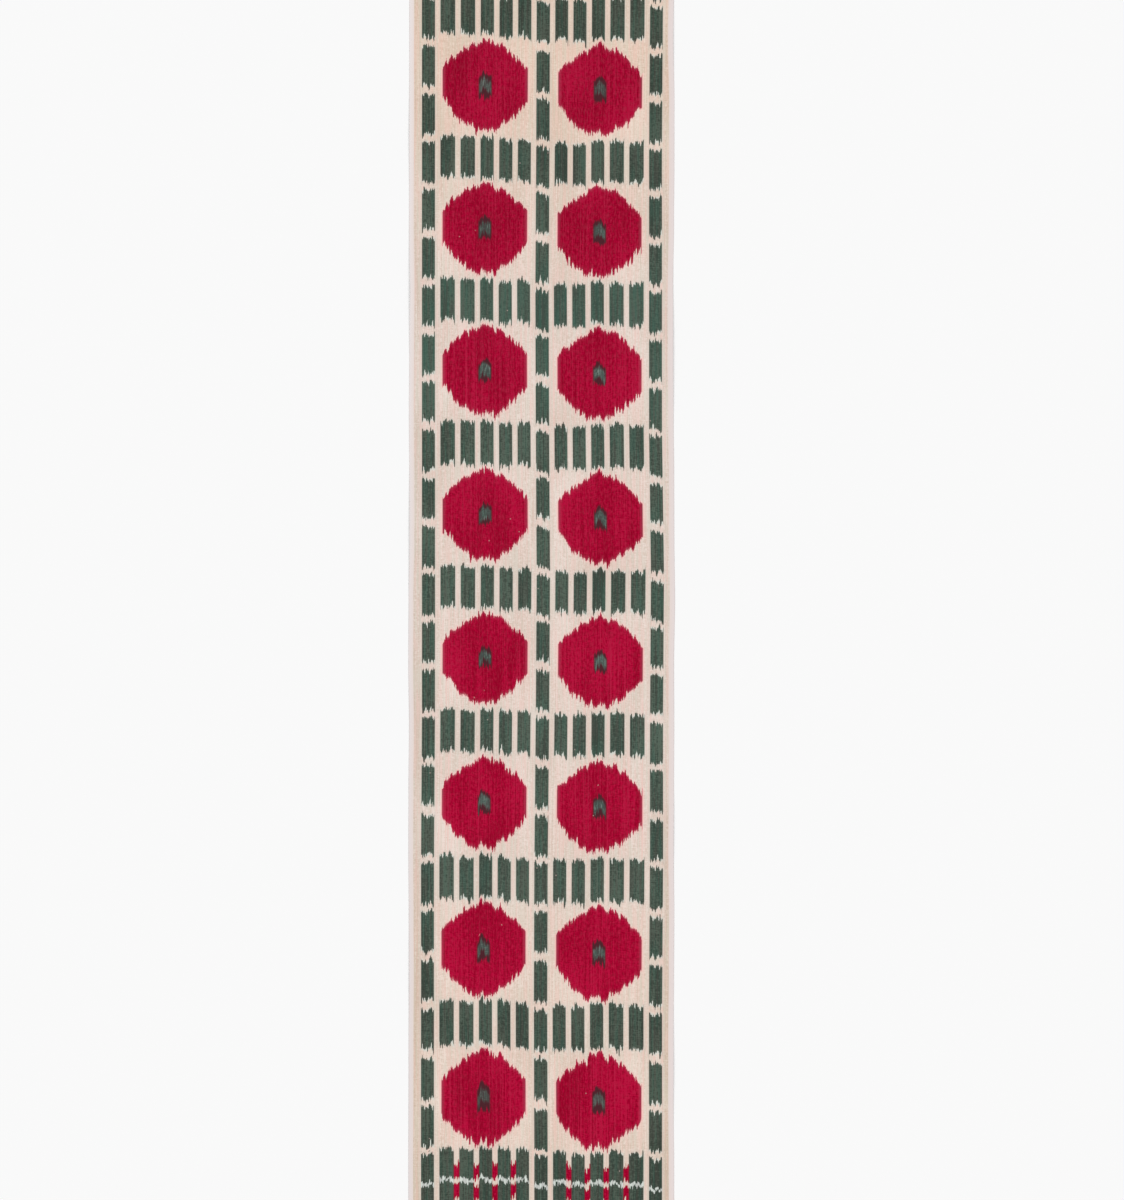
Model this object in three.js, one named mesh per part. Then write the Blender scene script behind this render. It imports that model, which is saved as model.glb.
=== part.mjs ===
// A loom length of warp ikat, lying face up: one woven sheet with both selvedges and two cut ends.
// Millimetres. +X runs across the cloth, +Y along its warp, +Z up. The origin is the middle of the underside.
import * as THREE from "three";

const CLOTH_WIDTH = 400;
const CLOTH_LENGTH = 1875;
const CLOTH_THICKNESS = 1.2;
const GROUND_CREAM = 0xe1cfc2;

// The selvedges wander a little, because hand weaving draws in unevenly. One row for each section, in even
// steps from the upper end of the cloth to the lower, gives how far each selvedge lies outside a straight line.
const SELVEDGE_SECTIONS = [
  { left: -0.6, right: 0.4 },
  { left: -0.5, right: -0.9 },
  { left: -0.5, right: 0.7 },
  { left: -0.3, right: 0.6 },
  { left: -0.1, right: 0.0 },
  { left: -1.2, right: -1.3 },
  { left: -0.6, right: -1.1 },
  { left: 0.0, right: -0.7 },
  { left: -0.5, right: 0.3 },
  { left: -0.8, right: 0.5 },
  { left: 0.5, right: 1.6 },
  { left: 0.9, right: 0.1 },
  { left: -0.2, right: 0.4 },
  { left: 0.6, right: 0.0 },
  { left: 0.8, right: -0.4 },
  { left: 0.3, right: 0.5 },
  { left: -0.1, right: 0.1 },
  { left: 0.5, right: -0.6 },
  { left: 0.6, right: -0.7 },
  { left: 0.9, right: 0.2 },
  { left: 0.8, right: 0.3 },
];

// Where a selvedge is drawn in, the cloth beside it stands off the surface in a low soft ripple. side is -1 for
// the left selvedge and 1 for the right, along is the ripple's middle, halfLength its run each way, reach how far
// it comes in from the selvedge, and height what it stands at the selvedge.
const RIPPLES = [
  { side: -1, along: 700, halfLength: 95, reach: 46, height: 1.0 },
  { side: -1, along: 465, halfLength: 120, reach: 58, height: 1.4 },
  { side: -1, along: 100, halfLength: 110, reach: 50, height: 1.2 },
  { side: -1, along: -560, halfLength: 80, reach: 40, height: 0.8 },
  { side: 1, along: 845, halfLength: 70, reach: 42, height: 1.0 },
  { side: 1, along: 375, halfLength: 150, reach: 62, height: 1.5 },
  { side: 1, along: -345, halfLength: 85, reach: 44, height: 0.9 },
  { side: 1, along: -700, halfLength: 105, reach: 52, height: 1.2 },
];

// The mesh is finer near the selvedges, where the ripples are. Shares of the half width, from the middle out.
const COLUMN_SHARES = [0, 0.35, 0.68, 0.78, 0.87, 0.94, 1];
const ROWS = 60;

// How far a selvedge lies outside its straight line at a share of the length, eased from section to section.
function selvedgeOffset(side, shareFromTop) {
  const column = side < 0 ? "left" : "right";
  const place = shareFromTop * (SELVEDGE_SECTIONS.length - 1);
  const section = Math.min(Math.floor(place), SELVEDGE_SECTIONS.length - 2);
  const ease = THREE.MathUtils.smoothstep(place - section, 0, 1);
  const here = SELVEDGE_SECTIONS[section][column];
  return here + (SELVEDGE_SECTIONS[section + 1][column] - here) * ease;
}

// How far the underside stands off the surface: each ripple is a bell along the selvedge, and rises towards it.
function rippleHeight(side, inFromSelvedge, along) {
  let height = 0;
  for (const ripple of RIPPLES) {
    const run = Math.abs(along - ripple.along) / ripple.halfLength;
    const rise = 1 - inFromSelvedge / ripple.reach;
    if (ripple.side === side && run < 1 && rise > 0) {
      height += ripple.height * Math.cos((run * Math.PI) / 2) ** 2 * rise ** 2;
    }
  }
  return height;
}

// A box of one layer with its columns spread by COLUMN_SHARES, each vertex then moved to its place on the cloth.
function clothGeometry() {
  const halfColumns = COLUMN_SHARES.length - 1;
  const geometry = new THREE.BoxGeometry(2 * halfColumns, 1, 1, 2 * halfColumns, ROWS, 1);
  const position = geometry.getAttribute("position");
  for (let i = 0; i < position.count; i++) {
    const column = Math.round(position.getX(i));
    const side = column < 0 ? -1 : 1;
    const share = COLUMN_SHARES[Math.abs(column)];
    const shareFromTop = 0.5 - position.getY(i);
    const halfWidth = CLOTH_WIDTH / 2 + selvedgeOffset(side, shareFromTop);
    const along = position.getY(i) * CLOTH_LENGTH;
    const lift = rippleHeight(side, halfWidth * (1 - share), along);
    const faceHeight = position.getZ(i) > 0 ? CLOTH_THICKNESS : 0;
    position.setXYZ(i, side * share * halfWidth, along, faceHeight + lift);
  }
  // The uneven selvedges leave the box a little off centre, so it is moved back over the origin.
  geometry.computeBoundingBox();
  const middle = geometry.boundingBox.getCenter(new THREE.Vector3());
  geometry.translate(-middle.x, -middle.y, 0);
  return geometry;
}

// Adras: silk warp and cotton weft, soft and with a low sheen.
function wovenCloth() {
  const finish = new THREE.MeshStandardMaterial({ color: GROUND_CREAM, roughness: 0.8, metalness: 0 });
  const cloth = new THREE.Mesh(clothGeometry(), finish);
  cloth.name = "cloth";
  return cloth;
}

const ikatLength = new THREE.Group();
ikatLength.add(wovenCloth());

export default ikatLength;
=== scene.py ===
from collections import namedtuple

import bpy
import numpy as np
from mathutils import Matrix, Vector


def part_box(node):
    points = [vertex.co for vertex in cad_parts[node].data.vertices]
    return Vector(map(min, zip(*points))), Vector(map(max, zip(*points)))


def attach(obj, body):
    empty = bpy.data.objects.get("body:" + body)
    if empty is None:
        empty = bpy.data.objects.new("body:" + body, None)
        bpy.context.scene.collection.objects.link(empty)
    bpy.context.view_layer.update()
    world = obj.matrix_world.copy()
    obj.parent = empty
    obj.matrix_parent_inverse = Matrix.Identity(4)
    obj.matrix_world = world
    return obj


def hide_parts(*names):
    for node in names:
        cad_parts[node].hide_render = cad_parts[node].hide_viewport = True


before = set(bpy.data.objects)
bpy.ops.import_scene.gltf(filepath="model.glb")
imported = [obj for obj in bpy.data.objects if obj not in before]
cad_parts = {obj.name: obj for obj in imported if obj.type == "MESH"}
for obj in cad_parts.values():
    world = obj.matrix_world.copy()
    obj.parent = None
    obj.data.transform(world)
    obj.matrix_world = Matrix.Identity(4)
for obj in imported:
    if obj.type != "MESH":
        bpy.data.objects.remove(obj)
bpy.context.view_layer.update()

MM = 0.001


def table(columns, *rows):
    """A short table as one array for each named column."""
    return dict(zip(columns.split(), np.array(rows, float).T))


# The sheet
LOW, HIGH = (np.array(corner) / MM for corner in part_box("cloth"))
CLOTH_LENGTH = HIGH[1] - LOW[1]
CLOTH_WIDTH = 400.0
THICKNESS = 0.5
# How far in from its edge the cloth gets thinner, and how far each visible edge lies inside the solid's
EDGE_ROUNDING = 1.0
LEFT_INSET, RIGHT_INSET = 1.8, 0.9
COLUMNS_ACROSS = 136
ROWS_ALONG = 330
# How high the slack stands on average, and how far in from the selvedge it has come to its full height
SLACK, SLACK_REACH = 0.22, 20.0

# How far each selvedge lies outside a straight line, in even steps from the upper end to the lower
SELVEDGES = table(
    "left right",
    (-0.6, 0.4), (-0.5, -0.9), (-0.5, 0.7), (-0.3, 0.6), (-0.1, 0.0), (-1.2, -1.3), (-0.6, -1.1),
    (0.0, -0.7), (-0.5, 0.3), (-0.8, 0.5), (0.5, 1.6), (0.9, 0.1), (-0.2, 0.4), (0.6, 0.0),
    (0.8, -0.4), (0.3, 0.5), (-0.1, 0.1), (0.5, -0.6), (0.6, -0.7), (0.9, 0.2), (0.8, 0.3),
)
# The solid stands with its box centred, which puts the two straight lines this far to the side
SIDEWAYS = (SELVEDGES["left"].max() - SELVEDGES["right"].max()) / 2
# Low ripples where a selvedge is drawn in. side is -1 for the left and 1 for the right
RIPPLES = table(
    "side along half_length reach height",
    (-1, 700, 95, 46, 1.0),
    (-1, 465, 120, 58, 1.4),
    (-1, 100, 110, 50, 1.2),
    (-1, -560, 80, 40, 0.8),
    (1, 845, 70, 42, 1.0),
    (1, 375, 150, 62, 1.5),
    (1, -345, 85, 44, 0.9),
    (1, -700, 105, 52, 1.2),
)

# The repeat. Columns of dashes stand about 28 mm apart. They are numbered from the middle out, and both
# halves of the cloth mirror each other: 0 and 6 run all the way down, and 1 to 5 are the rows between the
# spots. 7 isn't dyed, and carries the numbers on to the selvedge. Each row gives where a column's dashes
# begin and end, from the middle of the cloth out.
REPEAT = 216.0
COLUMNS = table(
    "number begin end",
    (0, -10.1, 10.1), (1, 17.8, 37.5), (2, 45.3, 65.2), (3, 73.2, 93.1),
    (4, 101.1, 122.9), (5, 130.8, 152.9), (6, 160.8, 180.4), (7, 188.4, 208.2),
)
LAST_COLUMN = 6
COLUMN_PITCH = 28.4
EDGE_COLUMN = 170.6
# Half a dash's width, as a share of the pitch
DASH_SHARE = 0.35
SPOT_ACROSS = 86.2
SPOT_HALF_WIDTH = 63.5
# Half the height of a spot, from its middle out: a rounded octagon, cut straight at its sides
SPOT_OUTLINE = table(
    "out half_height",
    (0, 68.3), (6, 67.5), (12, 66.7), (18, 64.1), (24, 60.5), (30, 56.7), (36, 52.5), (42, 47.7),
    (48, 41.9), (54, 35.6), (60, 28.8), (66, 22),
)
# Where the repeats fall on the woven cloth: how far down each one starts on the middle line, how much lower
# it starts at the right edge column than at the middle, and how much both edge columns hang below the
# middle. left, middle and right are where the three columns of dashes run, as the warp wanders. low and
# tall are how much lower and, above and below its middle, how much taller its spots came out than usual.
REPEATS = table(
    "down slant bow left middle right low tall",
    (-174, 6.0, 0.0, -169.0, 3.4, 173.0, 0.8, -0.2),
    (42, 6.0, 0.0, -169.0, 3.4, 173.0, 0.8, -0.2),
    (258, 5.3, -0.8, -169.0, 2.7, 171.5, -0.5, 0.2),
    (471, 3.8, 0.8, -169.0, 1.2, 171.5, -0.7, 0.5),
    (684, 4.5, 3.0, -169.0, 2.0, 171.5, 1.0, -0.2),
    (900, 4.5, 3.0, -169.0, 3.4, 174.5, 1.0, -0.2),
    (1114, 3.8, 3.8, -169.0, 2.0, 173.0, 1.4, -1.2),
    (1333, 3.8, 2.3, -170.5, -0.3, 173.0, 2.4, 1.0),
    (1551, 3.8, 3.8, -170.5, -1.0, 171.5, 4.3, 0.9),
    (1773, 3.8, 2.3, -170.5, -0.3, 171.5, 0.0, 0.0),
    (1995, 3.8, 2.3, -170.5, -0.3, 171.5, 0.0, 0.0),
)
# Groups of warp that slipped before weaving, alike in every repeat: how far down each one sits
SLIPS = table(
    "across down",
    (-142, -1.5), (-136, -2.5), (-128, 0), (-105, 0), (-100, 3.2), (-94, 3.5), (-91, -4.2), (-83, -2.5),
    (-74, -2), (-71, 3.2), (-66, 1), (-62, -2.2), (-55, 0.5), (-42, 0.5), (-36, -2.2), (-26, -2.5),
    (-14, 0), (-9, -0.6), (-5, 1), (0, -1.2), (4, -0.2), (9, -1.2), (14, 0), (27, -0.5), (36, 2.2),
    (46, 3.5), (57, 3.2), (65, 5), (70, 5.2), (73, 1.5), (80, 1.2), (85, -2), (90, -1), (93, 4.5),
    (98, 3), (104, 1), (112, -0.8), (120, 0), (142, 0),
)


def linear(colour):
    """A colour written as an sRGB hex value, as the linear numbers that Blender works in."""
    parts = np.array([colour >> 16 & 255, colour >> 8 & 255, colour & 255]) / 255
    return (*np.where(parts <= 0.04045, parts / 12.92, ((parts + 0.055) / 1.055) ** 2.4), 1.0)


# Shape of the sheet
def eased(values, share):
    """Values in even steps, eased from one to the next by 3t^2 - 2t^3. share runs over them all from 0 to
    1."""
    steps = share * (len(values) - 1)
    first = np.minimum(steps.astype(int), len(values) - 2)
    part = steps - first
    return values[first] + (values[first + 1] - values[first]) * part**2 * (3 - 2 * part)


def ripple_lift(side, inside, along):
    """Sum over the ripples of height * cos^2 along the selvedge * square of the rise towards it."""
    ripple = {name: values[:, None, None] for name, values in RIPPLES.items()}
    run = np.clip(np.abs(along - ripple["along"]) / ripple["half_length"], 0, 1)
    rise = np.clip(1 - inside / ripple["reach"], 0, 1)
    lift = ripple["height"] * np.cos(run * np.pi / 2) ** 2 * rise**2
    return (lift * (ripple["side"] == side)).sum(axis=0)


def slack_lift(x, y, inside):
    """A very low unevenness: the product of two sums of sines with unlike lengths, brought above zero, and
    falling away to nothing at the selvedges. What x and y are divided by is a wave's length over 2 pi."""
    across = np.sin(x / 37 + 1.3 * np.sin(y / 210)) + np.sin(x / 61 + y / 330 + 2)
    along = np.sin(y / 58 + 0.8 * np.sin(x / 90)) + np.sin(y / 133 + 1)
    return SLACK * (1 + across * along / 4) * np.clip(inside / SLACK_REACH, 0, 1)


def sheet_fields():
    """Grids of the sheet's places, of its distance from the solid's selvedge and of how high it lies.

    share runs across from -1 to 1 and closes up towards the selvedges, as (e + sin(e * pi / 2)) / 2 of even
    steps e. Each row is as wide as the two selvedges stand apart there."""
    even = np.linspace(-1, 1, COLUMNS_ACROSS + 1)
    share, from_top = np.meshgrid((even + np.sin(even * np.pi / 2)) / 2, np.linspace(0, 1, ROWS_ALONG + 1))
    side = np.where(share < 0, -1, 1)
    outside = np.where(side < 0, eased(SELVEDGES["left"], from_top), eased(SELVEDGES["right"], from_top))
    half_width = CLOTH_WIDTH / 2 + outside
    x = share * (half_width - np.where(side < 0, LEFT_INSET, RIGHT_INSET))
    y = (0.5 - from_top) * CLOTH_LENGTH
    inside = half_width - np.abs(x)
    return x, y, inside, ripple_lift(side, inside, y) + slack_lift(x, y, inside)


def pattern_fields(x, y):
    """Where the dyer's repeat falls on the woven cloth.

    across is the share of the way from the middle column of dashes to the edge column, times their real
    distance. along is read off the table of repeats at the place down the cloth, less the slant and bow
    there and less the slip of that group of warp. column is across in columns, drawn so that every dash
    fills the same share of its column."""
    down = CLOTH_LENGTH / 2 - y
    left, middle, right, slant, bow = (
        np.interp(down, REPEATS["down"], REPEATS[name])
        for name in ("left", "middle", "right", "slant", "bow")
    )
    out = np.where(x < middle, (x - middle) / (middle - left), (x - middle) / (right - middle))
    across = out * EDGE_COLUMN
    slip = np.interp(across, SLIPS["across"], SLIPS["down"])
    starts = REPEAT * np.arange(-1, len(REPEATS["down"]) - 1)
    along = np.interp(down - slant * out - bow * out**2 - slip, REPEATS["down"], starts)
    from_spot = np.abs(np.abs(across) - SPOT_ACROSS)
    spot_half = np.interp(from_spot, SPOT_OUTLINE["out"], SPOT_OUTLINE["half_height"])
    edges = np.concatenate([COLUMNS["begin"], COLUMNS["end"]])
    numbers = np.concatenate([COLUMNS["number"] - DASH_SHARE, COLUMNS["number"] + DASH_SHARE])
    column = np.sign(across) * np.interp(np.abs(across), np.sort(edges), np.sort(numbers))
    repeat = np.floor(along / REPEAT).astype(int) + 1
    low, tall = REPEATS["low"][repeat], REPEATS["tall"][repeat]
    return column, along, {"from_spot": from_spot, "spot_half": spot_half, "low": low, "tall": tall}


def closed_sheet(x, y, under, over):
    """Vertices and faces of a sheet: its upper grid, its lower grid turned over, and a rim round both.

    Also how many of the last faces are the rim."""
    count = x.size
    grid = np.arange(count).reshape(x.shape)
    points = np.concatenate([np.stack([x, y, z], axis=-1).reshape(-1, 3) for z in (over, under)])
    cells = np.stack([grid[:-1, :-1], grid[1:, :-1], grid[1:, 1:], grid[:-1, 1:]], axis=-1).reshape(-1, 4)
    ring = np.concatenate([grid[0, :-1], grid[:-1, -1], grid[-1, :0:-1], grid[:0:-1, 0]])
    after = np.roll(ring, -1)
    rim = np.stack([ring, after, after + count, ring + count], axis=-1)
    return points, np.concatenate([cells, cells[:, ::-1] + count, rim]), len(rim)


# The sheet's own map: its upper face in two strips side by side, then its underside in two narrower ones,
# then its rim. Each is given by where it begins across the map and how wide it is, as shares of the map.
MAP_STRIPS = table("begin width", (0.003, 0.325), (0.333, 0.325), (0.663, 0.162), (0.829, 0.162))
MAP_RIM = 0.994
MAP_RIM_WIDTH = 0.004
MAP_MARGIN = 0.003


def map_layout(points, faces, rim_count):
    """Each corner's place on the sheet's own map.

    A strip holds half the sheet's length: across it goes the place between the selvedges, and up it the
    place along that half. The rim goes up the map once round the sheet."""
    half = len(points) // 2
    x, y = points[:half, :2].T
    across = (x - x.min()) / np.ptp(x)
    along = (y - y.min()) / np.ptp(y)
    corner = faces % half
    upper = along[corner].mean(axis=1) > 0.5
    strip = upper + 2 * (faces.min(axis=1) >= half)
    u = MAP_STRIPS["begin"][strip][:, None] + MAP_STRIPS["width"][strip][:, None] * across[corner]
    v = 2 * along[corner] - upper[:, None]
    u[-rim_count:] = MAP_RIM + MAP_RIM_WIDTH * (faces[-rim_count:] >= half)
    v[-rim_count:] = (np.arange(rim_count)[:, None] + [0, 1, 1, 0]) / rim_count
    return np.stack([u, MAP_MARGIN + (1 - 2 * MAP_MARGIN) * v], axis=-1)


def make_sheet():
    """The cloth. At its edges each face draws in by a quarter of the thickness. Its mesh carries the
    pattern's coordinates as the map Weave, what the material needs besides as attributes, and the map for
    the bake."""
    x, y, inside, lift = sheet_fields()
    rounding = np.clip(1 - (inside - inside.min()) / EDGE_ROUNDING, 0, 1) ** 2 * THICKNESS / 4
    column, along, fields = pattern_fields(x, y)
    points, faces, rim_count = closed_sheet(x + SIDEWAYS, y, lift + rounding, lift + THICKNESS - rounding)
    points[:, 2] -= points[:, 2].min()

    mesh = bpy.data.meshes.new("ikat_length")
    mesh.from_pydata(points * MM, [], faces)
    weave = mesh.uv_layers.new(name="Weave")
    corner = faces.ravel() % x.size
    places = np.stack([column.ravel(), along.ravel()], axis=-1)[corner]
    weave.uv.foreach_set("vector", places.astype("f").ravel())
    flat = mesh.uv_layers.new(name="OFBake")
    flat.uv.foreach_set("vector", map_layout(points, faces, rim_count).astype("f").ravel())
    for name, values in {"selvedge": inside, **fields}.items():
        layer = mesh.attributes.new(name, "FLOAT", "POINT")
        layer.data.foreach_set("value", np.tile(values.ravel(), 2).astype("f"))
    smooth = np.arange(len(faces)) < len(faces) - rim_count
    mesh.polygons.foreach_set("use_smooth", smooth)
    mesh.update()
    sheet = bpy.data.objects.new("ikat_length", mesh)
    bpy.context.collection.objects.link(sheet)
    return sheet


# The figures in the dye. pitch, middle and half are how far apart a column's dashes are along the warp,
# where the first one's middle is and half their length. top is where the column's last dash begins, from
# the start of the last repeat.
LAST_REPEAT = 8 * REPEAT
COLUMN_DASH = {"pitch": 72.0, "middle": 31.6, "half": 30.2, "top": -2.0}
ROW_DASH = {"pitch": REPEAT, "middle": 20.9, "half": 31.7, "top": -9.2}
# Which columns are in the rows, and between which of them red marks stand, each as the middle of its range
# and the reach to both sides
ROW_COLUMNS = (3.0, 2.5)
MARK_COLUMNS = (3.0, 2.0)
# ROW_LOWER gives the first and the last column between which the row dashes rise, and how much lower than
# usual they sit at each. ROW_FOLLOWS is how far they follow spots that came out low, as a share of that, and
# DASH_STRAY is how far each dash strays up or down.
ROW_LOWER = (1.0, 3.5, 2.3, -1.2)
ROW_FOLLOWS = 0.5
DASH_STRAY = 1.5
# The last dash of each column has a pale tie line across its middle. TIE_LINE is how far below its upper
# end that is, and LAST_GAP half the gap above it. In the gaps between the rows' last dashes stands a red
# mark on each side of the line. MARK_MIDDLE is how far from the line its middle is, and MARK_SIDE the depths
# in the dash beside it at which its dye has gone and is full.
TIE_LINE = 44.7
TIE_HALF = 3.0
LAST_GAP = 7.0
MARK_MIDDLE = 14.5
MARK_HALF = 11.0
MARK_SIDE = (1.4, -0.2)
SPOT_MIDDLE = 126.75
# The eye of a spot. Green dyed over the red gives its dark rim, and green in place of the red its core. Each
# has half its length, how much longer that gets where the cloth is worn or the core is arched, and how far
# outside the eye's half width its dye begins and is full.
EYE_HALF_WIDTH = 10.0
RIM_HALF, RIM_HALF_WORN = 14.8, 3.6
RIM_SIDE = (1.4, -1.6)
CORE_HALF, CORE_HALF_ARCH = 7.2, 2.0
CORE_SIDE = (0.2, -3.0)
# The rim's foot hangs lowest on the eye's axis, the shoulders drop from SHOULDER_FROM outwards, and both
# take their full depth at the reach below or above the middle. The core sits a little higher and has an
# arched lower end, whose legs are lowest. EYE_ARCH is where, out from the axis, foot and arch begin and
# end.
EYE_ARCH = (0.5, 8.0)
FOOT_DEPTH, FOOT_REACH = 3.0, 9.0
SHOULDER_FROM, SHOULDER_DROP, SHOULDER_REACH = 4.5, 4.0, 9.0
CORE_RAISED, CORE_LEGS = 0.8, 1.5
# A depth that lies outside every figure
OUTSIDE = -20.0

# Ragged ends: the width of a tied bundle, of the groups of threads in it and of one thread as drawn, and
# how far each one's end steps, slants or comes to a point. Bundles and groups also slip as a whole, a
# bundle's slip changing over BUNDLE_DRIFT down the cloth. Real threads lie 0.1 to 0.5 mm apart, so one is
# drawn coarser, to show at this size. Upper and lower ends take these shares of it all.
BUNDLE, BUNDLE_STEP, BUNDLE_SLANT, BUNDLE_DRIFT = 7.4, 1.6, 2.6, 900.0
GROUP, GROUP_STEP, GROUP_POINT, GROUP_SLANT, GROUP_SLIP = 2.7, 2.6, 1.4, 4.5, 4.2
THREAD, THREAD_STEP = 1.5, 4.2
UPPER_STRAY, LOWER_STRAY = 0.9, 1.25
# The range in which most of a noise's values lie
NOISE_RANGE = (0.2, 0.8)
# How far apart in their noise two bundles, the ends of two figures, and two kinds of patches lie, so that
# no two come out alike
BUNDLE_JUMP = 7.31
END_JUMP = 57.31
PATCH_JUMP = (9.7, 31.3)

# Each kind of figure: where in the noise its ends begin, what share of the usual raggedness they have, and
# how deep inside its drawn edge its dye begins and is full
Figure = namedtuple("Figure", "seed stray edge")
FIGURES = {
    "dash": Figure(seed=11.0, stray=1.0, edge=(-0.7, 0.7)),
    "tie": Figure(seed=977.0, stray=0.7, edge=(-0.8, 1.0)),
    "mark": Figure(seed=1031.0, stray=1.0, edge=(-1.0, 1.0)),
    "spot": Figure(seed=907.0, stray=1.0, edge=(-0.9, 0.9)),
    "rim": Figure(seed=400.0, stray=0.8, edge=(-2.6, 2.2)),
    "core": Figure(seed=700.0, stray=0.8, edge=(-3.4, 2.8)),
}

# Unevenness of the dye: the size across and along of its patches, and how much each kind adds to the shade.
# Real threads lie 0.1 to 0.5 mm apart, so lines and grain are drawn coarser, to show at this size.
UNEVENNESS = {
    "cloud": (55.0, 130.0, 0.85),
    "line": (2.0, 110.0, 1.0),
    "thread": (1.6, 600.0, 0.5),
    "grain": (1.5, 6.0, 1.0),
    "weft": (7.0, 1.8, 1.0),
    "tone": (3.6, 60.0, 0.0),
    "fine": (1.7, 16.0, 0.0),
    "fleck": (2.4, 8.0, 0.0),
}
# The dyes in their darkest, palest and usual shades, each with its place on the scale of the shade
SHADES = {
    "cream": ((0.2, 0xD6C2B4), (0.8, 0xEEDFD6), (0.5, 0xE2D1C6)),
    "green": ((0.2, 0x3A453D), (0.8, 0x59685C), (0.5, 0x4A564C)),
    "red": ((0.2, 0x900024), (0.8, 0xB50D3A), (0.5, 0xA3002D)),
    "core": ((0.2, 0x45524C), (0.85, 0x64766E), (0.5, 0x4B625A)),
}
# Tints that lie over each dye where it is thick, thin or mixed, from the lowest to the highest. A tint grows
# from nothing to its most as each field that it follows goes from the first value to the second.
Tint = namedtuple("Tint", "shows colour most follows")
TINTS = {
    "cream": (
        Tint("grey threads", 0xDDD3C6, 0.65, {"tone": (0.5, 0.66)}),
        Tint("pink threads", 0xEACEC4, 0.65, {"tone": (0.5, 0.34)}),
        Tint("a few rosy threads", 0xEBC4BA, 0.6, {"thread": (0.6, 0.72)}),
    ),
    "beside figures": (
        Tint("grey near dashes", 0xD2CABF, 0.35, {"dash": (-7.0, -0.5)}),
        Tint("cool notches in their ends", 0xD4DAD2, 0.8, {"dash_even": (-1.5, 2.5), "side": (-0.6, 0.6)}),
        Tint("blush round spots", 0xFFC0BC, 0.82, {"spot": (-3.6, 0.2)}),
    ),
    "band": (
        Tint("greyer towards the lower end", 0xE4DAD8, 1.0, {"woven": (200.0, 1600.0)}),
        Tint("the right band", 0xE5D9D7, 1.0, {"to_right": (0.0, 1.0)}),
        Tint("warmer away from the edge", 0xE6D6CE, 0.6, {"selvedge": (3.5, 9.0)}),
    ),
    "green": (
        Tint("teal threads", 0x426256, 1.0, {"teal": (0.0, 1.0)}),
        Tint("brown threads", 0x54524C, 0.35, {"tone": (0.5, 0.34)}),
        Tint("olive along the sides", 0x454838, 0.4, {"side": (1.7, 0.2)}),
        Tint("brown where an end juts out", 0x665B52, 0.6, {"dash_even": (0.5, -2.5)}),
        Tint("grey at the ends", 0x7E7D72, 0.3, {"ends": (4.0, -0.5)}),
    ),
    "red": (
        Tint("paler flecks", 0xAA3049, 0.34, {"flecks": (0.0, 1.0)}),
        Tint("a few pink threads", 0xAE3A56, 0.17, {"thread": (0.6, 0.72)}),
        Tint("paler towards the edge", 0xAA485E, 0.65, {"spot": (6.5, -1.0)}),
        Tint("some dark tips", 0x6A2434, 0.6, {"tone": (0.5, 0.6), "spot": (2.5, 0.0)}),
    ),
    "core": (
        Tint("threads that stayed dark", 0x46333A, 0.55, {"fine": (0.5, 0.66)}),
        Tint("pale threads", 0x9CAAA2, 0.4, {"fine": (0.34, 0.26)}),
    ),
    "mark": (
        Tint("dark where a mark runs into a dash", 0x642430, 1.0, {"side": (-1.4, 0.8)}),
    ),
    "tie": (
        Tint("paler threads", 0xDCE4DC, 1.0, {"line": (0.42, 0.58)}),
        Tint("pink across the marks", 0xE6C4C2, 1.0, {"mark_gap": (0.0, 1.0)}),
    ),
}
# These fields are depths inside a figure, and a tint that follows one of them grows by an eased curve
DEPTHS = ("side", "dash", "dash_even", "ends", "spot")
# Colours that lie under the band's and the tie line's tints, and those of the eye's rim and of a speck
BAND_PALE = 0xEBE2E0
TIE_GREY = 0xC4C6C2
RIM_DARK = 0x45252B
SPECK_PALE = 0xE0C4BC
# How much of what is below them the last layers cover where their dye is full
RIM_COVERS = 0.95
CORE_COVERS, WORN_CORE_COVERS = 0.9, 0.66
TIE_COVERS = 0.92
SPECK_COVERS = 0.35
# The share of red, green and blue light that parts of the cloth give back, against the same dye elsewhere
WORN_GROUND = (1.0, 0.95, 0.88, 1.0)
BORDER_GROUND = (0.945, 0.955, 0.945, 1.0)
WORN_BORDER_GROUND = (0.955, 0.94, 0.91, 1.0)
WORN_GREEN = (0.87, 0.84, 0.83, 1.0)
# The cloth is worn towards both ends. Wear grows from the first to the second of WORN_GROWS, as the distance
# from WORN_MIDDLE down the cloth.
WORN_MIDDLE = 860.0
WORN_GROWS = (330.0, 820.0)
# Slow changes down the cloth: the two places between which each goes on, and its values at them
CHANGES = {
    "warmth": (1300.0, 1600.0, 1.0, 0.5),
    "border": (900.0, 1700.0, 0.0, 1.0),
    "red": (50.0, 1000.0, 0.94, 1.02),
    "flecks": (200.0, 1700.0, 1.0, 0.6),
}
# Patches this strong show as flecks and as teal threads. TEAL_ROWS adds teal to the dashes round TEAL_MIDDLE
# down the cloth, from the first distance to the second.
FLECKS = (0.42, 0.72)
TEAL_THREADS = (0.5, 0.68, 0.0, 0.4)
TEAL_MIDDLE = 510.0
TEAL_ROWS = (150.0, 70.0, 0.0, 0.25)
# Where the border outside the edge columns begins, in columns, and where the band along each selvedge
# begins, in from the selvedge
BORDER_EDGE = (6.36, 6.5)
BAND_EDGE = (9.5, 8.3)
# Pale specks: their size, and the random numbers at which one begins to show and shows in full
SPECK_WIDE, SPECK_LONG = 1.7, 1.8
SPECK_RARE = (0.9998, 0.99985)
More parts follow.
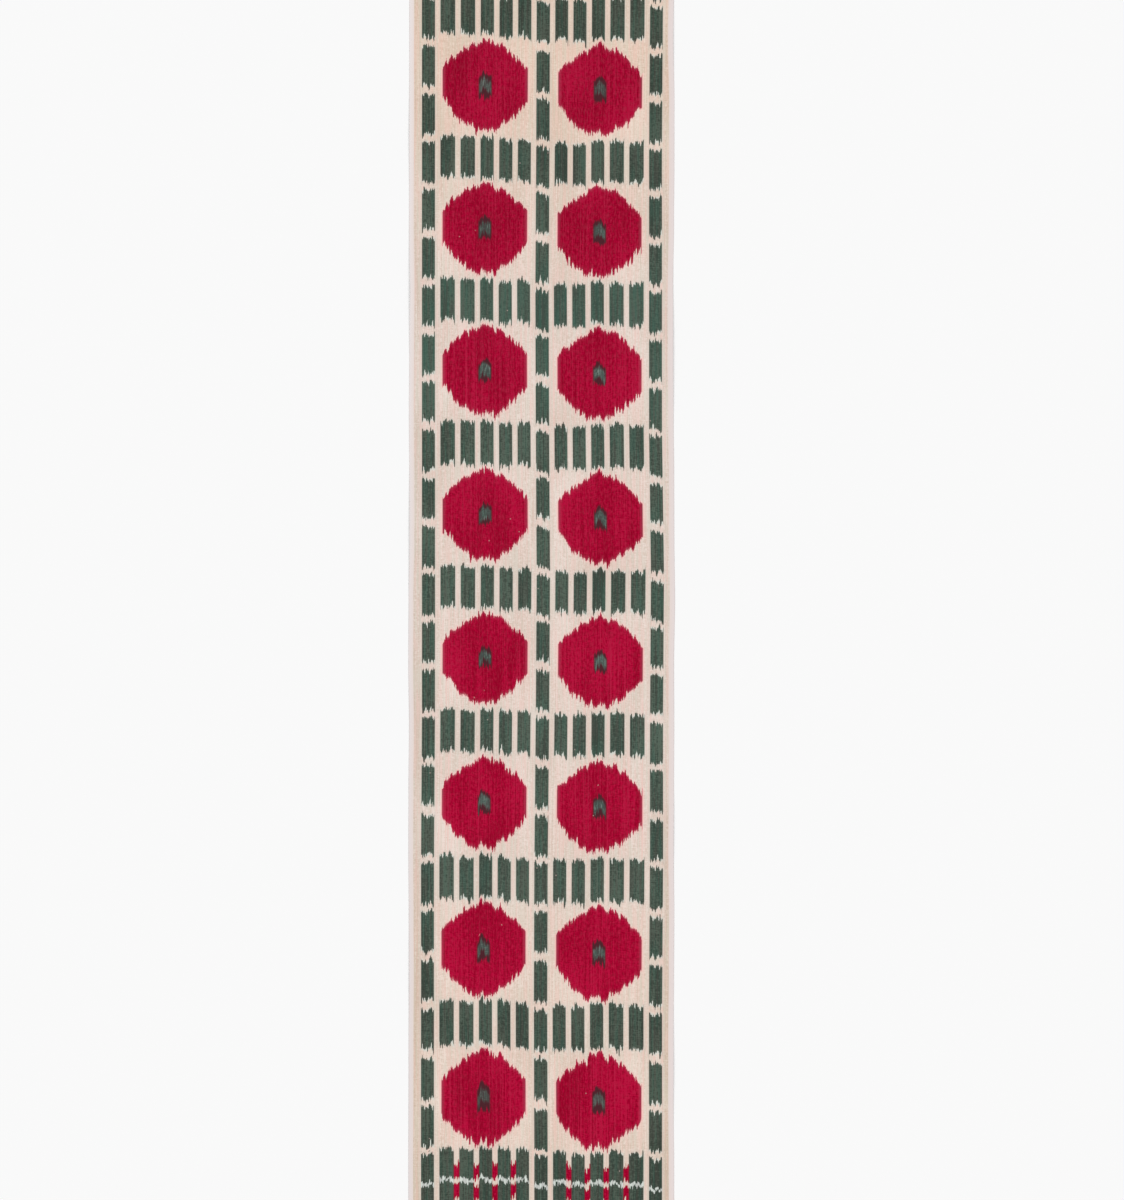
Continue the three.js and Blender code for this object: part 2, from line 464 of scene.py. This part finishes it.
# How high the ribs of the weft and the ridges of the warp stand
RIB_HEIGHT = 0.3
SMOOTH = {"interpolation_type": "SMOOTHSTEP"}


# The material
def add(tree, kind, *values, named=None, stops=(), output=0, **settings):
    """Adds one node with its settings and gives back one of its outputs.

    values fill its inputs in order, and named fills them by name. A socket is linked, None is left as it
    is, and anything else is set. stops are the places and colours of a colour ramp."""
    node = tree.nodes.new("ShaderNode" + kind)
    for name, value in settings.items():
        setattr(node, name, value)
    for i, (place, colour) in enumerate(stops):
        stop = node.color_ramp.elements[i] if i < 2 else node.color_ramp.elements.new(place)
        stop.position, stop.color = place, linear(colour)
    inputs = [socket for socket in node.inputs if socket.enabled]
    pairs = list(zip(inputs, values)) + [(node.inputs[name], value) for name, value in (named or {}).items()]
    for socket, value in pairs:
        if isinstance(value, bpy.types.NodeSocket):
            tree.links.new(value, socket)
        elif value is not None:
            socket.default_value = value
    return [socket for socket in node.outputs if socket.enabled][output]


def slipped(tree, across, along):
    """along, less what each bundle and each group of threads has slipped. Bundles have a step and a slant
    of their own, which change slowly down the cloth, so an end that juts out does so in every repeat."""
    place = add(tree, "Math", across, BUNDLE, operation="DIVIDE")
    bundle = add(tree, "Math", place, operation="FLOOR")
    part = add(tree, "Math", add(tree, "Math", place, operation="FRACT"), 0.5, operation="SUBTRACT")
    seat = add(tree, "CombineXYZ", add(tree, "Math", bundle, BUNDLE_JUMP, operation="MULTIPLY"),
               add(tree, "Math", along, BUNDLE_DRIFT, operation="DIVIDE"))
    step = add(tree, "TexNoise", seat, named={"Scale": 1.0, "Detail": 0.0}, noise_dimensions="2D")
    step = add(tree, "MapRange", step, *NOISE_RANGE, -BUNDLE_STEP, BUNDLE_STEP)
    slant = add(tree, "TexWhiteNoise", bundle, noise_dimensions="1D")
    slant = add(tree, "MapRange", slant, 0.0, 1.0, -BUNDLE_SLANT, BUNDLE_SLANT)
    slip = add(tree, "Math", part, slant, step, operation="MULTIPLY_ADD")
    group = add(tree, "Math", across, GROUP, operation="DIVIDE")
    group = add(tree, "TexVoronoi", named={"W": group, "Scale": 1.0}, voronoi_dimensions="1D", output=1)
    group = add(tree, "Math", add(tree, "SeparateColor", group), 0.5, operation="SUBTRACT")
    slip = add(tree, "Math", group, GROUP_SLIP, slip, operation="MULTIPLY_ADD")
    return add(tree, "Math", along, slip, operation="SUBTRACT")


def end_depth(tree, across, number, off, half, figure):
    """How deep a place lies inside a figure along the warp, before and after its end is made ragged.

    The first is half the figure's length less the distance off its middle. Then each group of threads ends
    at its own height and slant and comes to a point, and each thread strays by the cube of a random number,
    so a few of them jut out or fall short by far. Lower ends are a little more ragged than upper ones."""
    below = add(tree, "Math", off, 0.0, operation="GREATER_THAN")
    end = add(tree, "Math", number, 2.0, add(tree, "Math", below, figure.seed, operation="ADD"),
              operation="MULTIPLY_ADD")
    place = add(tree, "Math", end, END_JUMP, add(tree, "Math", across, GROUP, operation="DIVIDE"),
                operation="MULTIPLY_ADD")
    point, group, middle = add(tree, "TexVoronoi", named={"W": place, "Scale": 1.0}, voronoi_dimensions="1D",
                               output=slice(0, 3))
    step, slant, _ = add(tree, "SeparateColor", group, output=slice(0, 3))
    step = add(tree, "MapRange", step, 0.0, 1.0, -GROUP_STEP, GROUP_STEP)
    slant = add(tree, "MapRange", slant, 0.0, 1.0, -GROUP_SLANT, GROUP_SLANT)
    step = add(tree, "Math", add(tree, "Math", place, middle, operation="SUBTRACT"), slant, step,
               operation="MULTIPLY_ADD")
    step = add(tree, "Math", point, -GROUP_POINT, step, operation="MULTIPLY_ADD")
    thread = add(tree, "Math", add(tree, "Math", across, THREAD, operation="DIVIDE"), operation="FLOOR")
    thread = add(tree, "TexWhiteNoise", add(tree, "CombineXYZ", thread, end), noise_dimensions="2D")
    thread = add(tree, "MapRange", thread, 0.0, 1.0, -1.0, 1.0)
    thread = add(tree, "Math", thread, 3.0, operation="POWER")
    step = add(tree, "Math", thread, THREAD_STEP, step, operation="MULTIPLY_ADD")
    even = add(tree, "Math", half, add(tree, "Math", off, operation="ABSOLUTE"), operation="SUBTRACT")
    stray = add(tree, "MapRange", below, 0.0, 1.0, UPPER_STRAY * figure.stray, LOWER_STRAY * figure.stray)
    return even, add(tree, "Math", step, stray, even, operation="MULTIPLY_ADD")


def nearest(tree, along, pitch, middle):
    """The number of the nearest figure of a row of them, and how far below its middle a place is."""
    place = add(tree, "Math", along, middle, operation="SUBTRACT")
    place = add(tree, "Math", place, pitch, operation="DIVIDE")
    number = add(tree, "Math", place, operation="ROUND")
    part = add(tree, "Math", place, number, operation="SUBTRACT")
    return number, add(tree, "Math", part, pitch, operation="MULTIPLY")


def dash_depth(tree, column, across, along, low, tall):
    """How deep a place lies inside the nearest dash from its side, from its even end and from its ragged
    one, how far below the tie line it is, and whether that dash is the column's last.

    One sum serves every column. Its pitch and middle depend on whether the column belongs to the rows."""
    mirrored = add(tree, "Math", column, operation="ABSOLUTE")
    number = add(tree, "Math", mirrored, operation="ROUND")
    in_rows = add(tree, "Math", number, *ROW_COLUMNS, operation="COMPARE")
    off_column = add(tree, "Math", mirrored, number, operation="SUBTRACT")
    off_column = add(tree, "Math", off_column, operation="ABSOLUTE")
    side = add(tree, "Math", DASH_SHARE, off_column, operation="SUBTRACT")
    side = add(tree, "Math", side, COLUMN_PITCH, operation="MULTIPLY")
    undyed = add(tree, "Math", number, LAST_COLUMN + 0.5, operation="GREATER_THAN")
    side = add(tree, "Mix", undyed, side, OUTSIDE)

    pitch, middle, half, top = (add(tree, "Mix", in_rows, COLUMN_DASH[name], ROW_DASH[name])
                                for name in ("pitch", "middle", "half", "top"))
    count, off = nearest(tree, along, pitch, middle)
    last = add(tree, "Math", along, add(tree, "Math", top, LAST_REPEAT - LAST_GAP, operation="ADD"),
               operation="GREATER_THAN")
    from_tie = add(tree, "Math", along, add(tree, "Math", top, LAST_REPEAT + TIE_LINE, operation="ADD"),
                   operation="SUBTRACT")
    # Row dashes nearest the middle sit lowest, and they follow their spots a little
    lower = add(tree, "Math", low, ROW_FOLLOWS, add(tree, "MapRange", number, *ROW_LOWER),
                operation="MULTIPLY_ADD")
    lower = add(tree, "Math", lower, in_rows, operation="MULTIPLY")
    off = add(tree, "Math", off, lower, operation="SUBTRACT")
    half = add(tree, "Math", tall, in_rows, half, operation="MULTIPLY_ADD")
    off = add(tree, "Mix", last, off, from_tie)
    half = add(tree, "Mix", last, half, TIE_LINE)
    seat = add(tree, "CombineXYZ", add(tree, "Math", column, operation="ROUND"), count)
    stray = add(tree, "TexWhiteNoise", seat, noise_dimensions="2D")
    off = add(tree, "Math", stray, 2 * DASH_STRAY, add(tree, "Math", off, DASH_STRAY, operation="SUBTRACT"),
              operation="MULTIPLY_ADD")
    even, ends = end_depth(tree, across, count, off, half, FIGURES["dash"])
    return side, even, ends, from_tie, last


def tie_and_marks(tree, column, across, side, green, from_tie, last):
    """How much of the pale tie line and of the red marks on both sides of it lies at a place, and how far
    the place is inside a gap that holds marks. The line shows only where it crosses dye."""
    _, tie_depth = end_depth(tree, across, 0.0, from_tie, TIE_HALF, FIGURES["tie"])
    on_tie = add(tree, "MapRange", tie_depth, *FIGURES["tie"].edge, **SMOOTH)
    mark_off = add(tree, "Math", add(tree, "Math", from_tie, operation="ABSOLUTE"), MARK_MIDDLE,
                   operation="SUBTRACT")
    below_tie = add(tree, "Math", from_tie, 0.0, operation="GREATER_THAN")
    _, mark_depth = end_depth(tree, across, below_tie, mark_off, MARK_HALF, FIGURES["mark"])
    mark_gap = add(tree, "Math", add(tree, "Math", column, operation="ABSOLUTE"), *MARK_COLUMNS,
                   operation="COMPARE")
    mark_gap = add(tree, "Math", mark_gap, last, operation="MULTIPLY")
    past_side = add(tree, "MapRange", side, *MARK_SIDE, **SMOOTH)
    mark_gap = add(tree, "Math", past_side, mark_gap, operation="MULTIPLY")
    mark = add(tree, "MapRange", mark_depth, *FIGURES["mark"].edge, **SMOOTH)
    mark = add(tree, "Math", mark, mark_gap, operation="MULTIPLY")
    tie = add(tree, "Math", green, mark, operation="MAXIMUM")
    tie = add(tree, "Math", tie, on_tie, operation="MULTIPLY")
    return add(tree, "Math", tie, last, operation="MULTIPLY"), mark, mark_gap


def spot_depth(tree, across, along, woven, from_spot, spot_half, low, tall):
    """The nearest spot's number, how far below its middle a place is and how deep inside its outline."""
    number, off = nearest(tree, along, REPEAT, SPOT_MIDDLE)
    off = add(tree, "Math", off, low, operation="SUBTRACT")
    half = add(tree, "Math", spot_half, tall, operation="ADD")
    _, ends = end_depth(tree, across, number, off, half, FIGURES["spot"])
    side = add(tree, "Math", SPOT_HALF_WIDTH, from_spot, operation="SUBTRACT")
    depth = add(tree, "Math", side, ends, operation="MINIMUM")
    past_last = add(tree, "Math", woven, LAST_REPEAT, operation="GREATER_THAN")
    return number, off, add(tree, "Mix", past_last, depth, OUTSIDE)


def eye_layers(tree, across, from_spot, number, off, worn, red):
    """How much of the dark rim and of the green core lies at a place in the eye of a spot.

    Both are upright bars, and the distance off their middle is bent first. Below the middle the rim's is
    less by the foot, the nearer the place is to the eye's axis. Above it both are more by the shoulder,
    towards the sides. The core's is less by its legs and its length more there, so its lower end is an
    arch."""
    arch = add(tree, "MapRange", from_spot, *EYE_ARCH, **SMOOTH)
    foot = add(tree, "Math", add(tree, "MapRange", arch, 0.0, 1.0, FOOT_DEPTH, 0.0),
               add(tree, "MapRange", off, 0.0, FOOT_REACH), operation="MULTIPLY")
    shoulder = add(tree, "MapRange", from_spot, SHOULDER_FROM, EYE_HALF_WIDTH, 0.0, SHOULDER_DROP)
    above = add(tree, "MapRange", off, 0.0, -SHOULDER_REACH)
    shoulder = add(tree, "Math", shoulder, above, operation="MULTIPLY")
    off = add(tree, "Math", off, shoulder, operation="SUBTRACT")
    rim_off = add(tree, "Math", off, foot, operation="SUBTRACT")
    core_off = add(tree, "Math", off, CORE_RAISED, operation="ADD")
    core_off = add(tree, "Math", arch, -CORE_LEGS, core_off, operation="MULTIPLY_ADD")
    rim_half = add(tree, "Math", worn, RIM_HALF_WORN, RIM_HALF, operation="MULTIPLY_ADD")
    core_half = add(tree, "Math", arch, CORE_HALF_ARCH, CORE_HALF, operation="MULTIPLY_ADD")
    share = red
    shares = []
    for figure, bent_off, half, sides in (
        (FIGURES["rim"], rim_off, rim_half, RIM_SIDE),
        (FIGURES["core"], core_off, core_half, CORE_SIDE),
    ):
        _, ends = end_depth(tree, across, number, bent_off, half, figure)
        dye = add(tree, "MapRange", ends, *figure.edge, **SMOOTH)
        begins, full = (EYE_HALF_WIDTH + beyond for beyond in sides)
        inside = add(tree, "MapRange", from_spot, begins, full, **SMOOTH)
        dye = add(tree, "Math", dye, inside, operation="MULTIPLY")
        share = add(tree, "Math", dye, share, operation="MULTIPLY")
        shares.append(share)
    return shares


def uneven_dye(tree, weave):
    """The patches of each kind, and the shade: 0.5, plus each kind's weight times its patches less 0.5."""
    patches = {}
    shade = 0.5 - sum(weight for _, _, weight in UNEVENNESS.values()) / 2
    for i, (name, (wide, long, weight)) in enumerate(UNEVENNESS.items()):
        place = add(tree, "VectorMath", weave, (COLUMN_PITCH / wide, 1 / long, 0.0),
                    (PATCH_JUMP[0] * i, PATCH_JUMP[1] * i, 0.0), operation="MULTIPLY_ADD")
        patches[name] = add(tree, "TexNoise", place, named={"Scale": 1.0, "Detail": 1.0},
                            noise_dimensions="2D")
        shade = add(tree, "Math", patches[name], weight, shade, operation="MULTIPLY_ADD")
    return patches, shade


def tinted(tree, colour, tints, fields):
    """colour under each of the tints in turn. A tint's share is its most times how far each field that it
    follows has gone from the first value to the second."""
    for tint in tints:
        share = tint.most
        for name, (first, second) in tint.follows.items():
            curve = SMOOTH if name in DEPTHS else {}
            grown = add(tree, "MapRange", fields[name], first, second, **curve)
            share = add(tree, "Math", grown, share, operation="MULTIPLY")
        colour = add(tree, "Mix", share, colour, linear(tint.colour), data_type="RGBA", label=tint.shows)
    return colour


def adras():
    """Adras: silk warp, tied and dyed before weaving, over a cotton weft. It is smooth with a low sheen.
    Its dye runs in fine streaks along the warp, bleeds a little past each tie, and has a grain where the
    weft crosses."""
    material = bpy.data.materials.new("adras_warp_ikat")
    material.use_nodes = True
    tree = material.node_tree
    tree.nodes.clear()

    weave = add(tree, "UVMap", uv_map="Weave")
    column, woven, _ = add(tree, "SeparateXYZ", weave, output=slice(None))
    across = add(tree, "Math", column, COLUMN_PITCH, operation="MULTIPLY")
    along = slipped(tree, across, woven)
    selvedge, from_spot, spot_half, low, tall = (
        add(tree, "Attribute", attribute_name=name, output=2)
        for name in ("selvedge", "from_spot", "spot_half", "low", "tall")
    )
    patches, shade = uneven_dye(tree, weave)
    dyes = {name: add(tree, "ValToRGB", shade, stops=stops) for name, stops in SHADES.items()}
    change = {name: add(tree, "MapRange", woven, *values) for name, values in CHANGES.items()}
    worn = add(tree, "Math", woven, WORN_MIDDLE, operation="SUBTRACT")
    worn = add(tree, "Math", worn, operation="ABSOLUTE")
    worn = add(tree, "MapRange", worn, *WORN_GROWS, **SMOOTH)

    # Where each figure's dye lies
    side, dash_even, ends, from_tie, last = dash_depth(tree, column, across, along, low, tall)
    dash = add(tree, "Math", side, ends, operation="MINIMUM")
    green = add(tree, "MapRange", dash, *FIGURES["dash"].edge, **SMOOTH)
    tie, mark, mark_gap = tie_and_marks(tree, column, across, side, green, from_tie, last)
    number, off, spot = spot_depth(tree, across, along, woven, from_spot, spot_half, low, tall)
    red = add(tree, "MapRange", spot, *FIGURES["spot"].edge, **SMOOTH)
    rim, core = eye_layers(tree, across, from_spot, number, off, worn, red)
    border = add(tree, "MapRange", add(tree, "Math", column, operation="ABSOLUTE"), *BORDER_EDGE, **SMOOTH)
    band = add(tree, "MapRange", selvedge, *BAND_EDGE, **SMOOTH)

    # What the tints follow
    flecks = add(tree, "Math", add(tree, "MapRange", patches["fleck"], *FLECKS), change["flecks"],
                 operation="MULTIPLY")
    teal_rows = add(tree, "Math", woven, TEAL_MIDDLE, operation="SUBTRACT")
    teal_rows = add(tree, "Math", teal_rows, operation="ABSOLUTE")
    teal = add(tree, "Math", add(tree, "MapRange", teal_rows, *TEAL_ROWS, **SMOOTH),
               add(tree, "MapRange", patches["tone"], *TEAL_THREADS), operation="ADD")
    to_right = add(tree, "Math", column, 0.0, operation="GREATER_THAN")
    fields = {
        **patches, "woven": woven, "selvedge": selvedge, "to_right": to_right, "flecks": flecks,
        "teal": teal, "side": side, "dash": dash, "dash_even": dash_even, "ends": ends, "spot": spot,
        "mark_gap": mark_gap,
    }

    # The ground is warmer where the cloth is worn, and darker outside the edge columns
    warmth = add(tree, "Math", worn, change["warmth"], operation="MULTIPLY")
    worn_border = add(tree, "Math", border, change["border"], operation="MULTIPLY")
    cream = tinted(tree, dyes["cream"], TINTS["cream"], fields)
    for share, light in ((warmth, WORN_GROUND), (border, BORDER_GROUND), (worn_border, WORN_BORDER_GROUND)):
        cream = add(tree, "Mix", share, cream, light, data_type="RGBA", blend_type="MULTIPLY")
    cream = tinted(tree, cream, TINTS["beside figures"], fields)
    greens = tinted(tree, dyes["green"], TINTS["green"], fields)
    greens = add(tree, "Mix", worn, greens, WORN_GREEN, data_type="RGBA", blend_type="MULTIPLY")
    reds = add(tree, "VectorMath", dyes["red"], change["red"], operation="SCALE")
    reds = tinted(tree, reds, TINTS["red"], fields)

    # A few pale specks, where a knot or a loose fibre shows
    speck = add(tree, "VectorMath", weave, (SPECK_WIDE / COLUMN_PITCH, SPECK_LONG, 1.0), operation="SNAP")
    speck = add(tree, "TexWhiteNoise", speck, noise_dimensions="2D")
    speck = add(tree, "MapRange", speck, *SPECK_RARE, 0.0, SPECK_COVERS)

    core_covers = add(tree, "MapRange", worn, 0.0, 1.0, CORE_COVERS, WORN_CORE_COVERS)
    colour = cream
    for share, over in (
        (band, tinted(tree, linear(BAND_PALE), TINTS["band"], fields)),
        (green, greens),
        (red, reds),
        (add(tree, "Math", rim, RIM_COVERS, operation="MULTIPLY"), linear(RIM_DARK)),
        (add(tree, "Math", core, core_covers, operation="MULTIPLY"),
         tinted(tree, dyes["core"], TINTS["core"], fields)),
        (mark, tinted(tree, dyes["red"], TINTS["mark"], fields)),
        (speck, linear(SPECK_PALE)),
        (add(tree, "Math", tie, TIE_COVERS, operation="MULTIPLY"),
         tinted(tree, linear(TIE_GREY), TINTS["tie"], fields)),
    ):
        colour = add(tree, "Mix", share, colour, over, data_type="RGBA")

    relief = add(tree, "Math", patches["weft"], patches["line"], operation="ADD")
    relief = add(tree, "Bump", named={"Strength": 1.0, "Distance": RIB_HEIGHT * MM, "Height": relief})
    shader = add(tree, "BsdfPrincipled", named={
        "Base Color": colour, "Roughness": 0.45, "Specular IOR Level": 0.02, "Sheen Weight": 0.02,
        "Sheen Roughness": 0.4, "Normal": relief,
    })
    output = tree.nodes.new("ShaderNodeOutputMaterial")
    tree.links.new(shader, output.inputs["Surface"])
    return material


# Floor, light and camera
FLOOR_WHITE = 0xF9F9F9
FLOOR_REACH = 8000.0
SKY_STRENGTH = 0.6
# Two wide lamps face each other across the cloth. Each has its tilt from straight above and its turn in
# degrees
LAMPS = {"left_lamp": (48, 80), "right_lamp": (48, -100)}
LAMP_STRENGTH = 0.943
LAMP_ANGLE = 35
# The camera. At this height the lens and the sensor's width put 1.8 m of the cloth's length in the frame
CAMERA_ACROSS = 30.9
CAMERA_HEIGHT = 5000.0
LENS = 100
SENSOR_WIDTH = 36


def make_floor():
    """A plain matt floor, one square round the cloth."""
    reach = FLOOR_REACH * MM
    mesh = bpy.data.meshes.new("floor")
    corners = [(-reach, -reach, 0), (reach, -reach, 0), (reach, reach, 0), (-reach, reach, 0)]
    mesh.from_pydata(corners, [], [(0, 1, 2, 3)])
    floor = bpy.data.objects.new("floor", mesh)
    bpy.context.collection.objects.link(floor)
    material = bpy.data.materials.new("matt_floor")
    material.use_nodes = True
    shader = material.node_tree.nodes["Principled BSDF"]
    shader.inputs["Base Color"].default_value = linear(FLOOR_WHITE)
    shader.inputs["Roughness"].default_value = 1.0
    shader.inputs["Specular IOR Level"].default_value = 0.0
    mesh.materials.append(material)


def make_light():
    """An even white sky, and the two lamps."""
    world = bpy.data.worlds.new("studio")
    bpy.context.scene.world = world
    world.use_nodes = True
    sky = world.node_tree.nodes["Background"]
    sky.inputs["Color"].default_value = (1, 1, 1, 1)
    sky.inputs["Strength"].default_value = SKY_STRENGTH
    bpy.context.scene.view_settings.view_transform = "Standard"
    for name, (tilt, turn) in LAMPS.items():
        lamp = bpy.data.lights.new(name, "SUN")
        lamp.energy = LAMP_STRENGTH
        lamp.angle = np.radians(LAMP_ANGLE)
        sun = bpy.data.objects.new(name, lamp)
        sun.rotation_euler = (np.radians(tilt), 0, np.radians(turn))
        bpy.context.collection.objects.link(sun)


def make_camera():
    """Straight above, as the photo is taken: 1200 pixels of 1.5 mm high at the cloth, short of both ends."""
    lens = bpy.data.cameras.new("camera")
    lens.sensor_width = SENSOR_WIDTH
    lens.lens = LENS
    camera = bpy.data.objects.new("camera", lens)
    camera.location = (CAMERA_ACROSS * MM, 0, CAMERA_HEIGHT * MM)
    bpy.context.collection.objects.link(camera)
    bpy.context.scene.camera = camera


make_camera()
make_floor()
make_light()
cloth = make_sheet()
cloth.data.materials.append(adras())
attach(cloth, "root")
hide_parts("cloth")
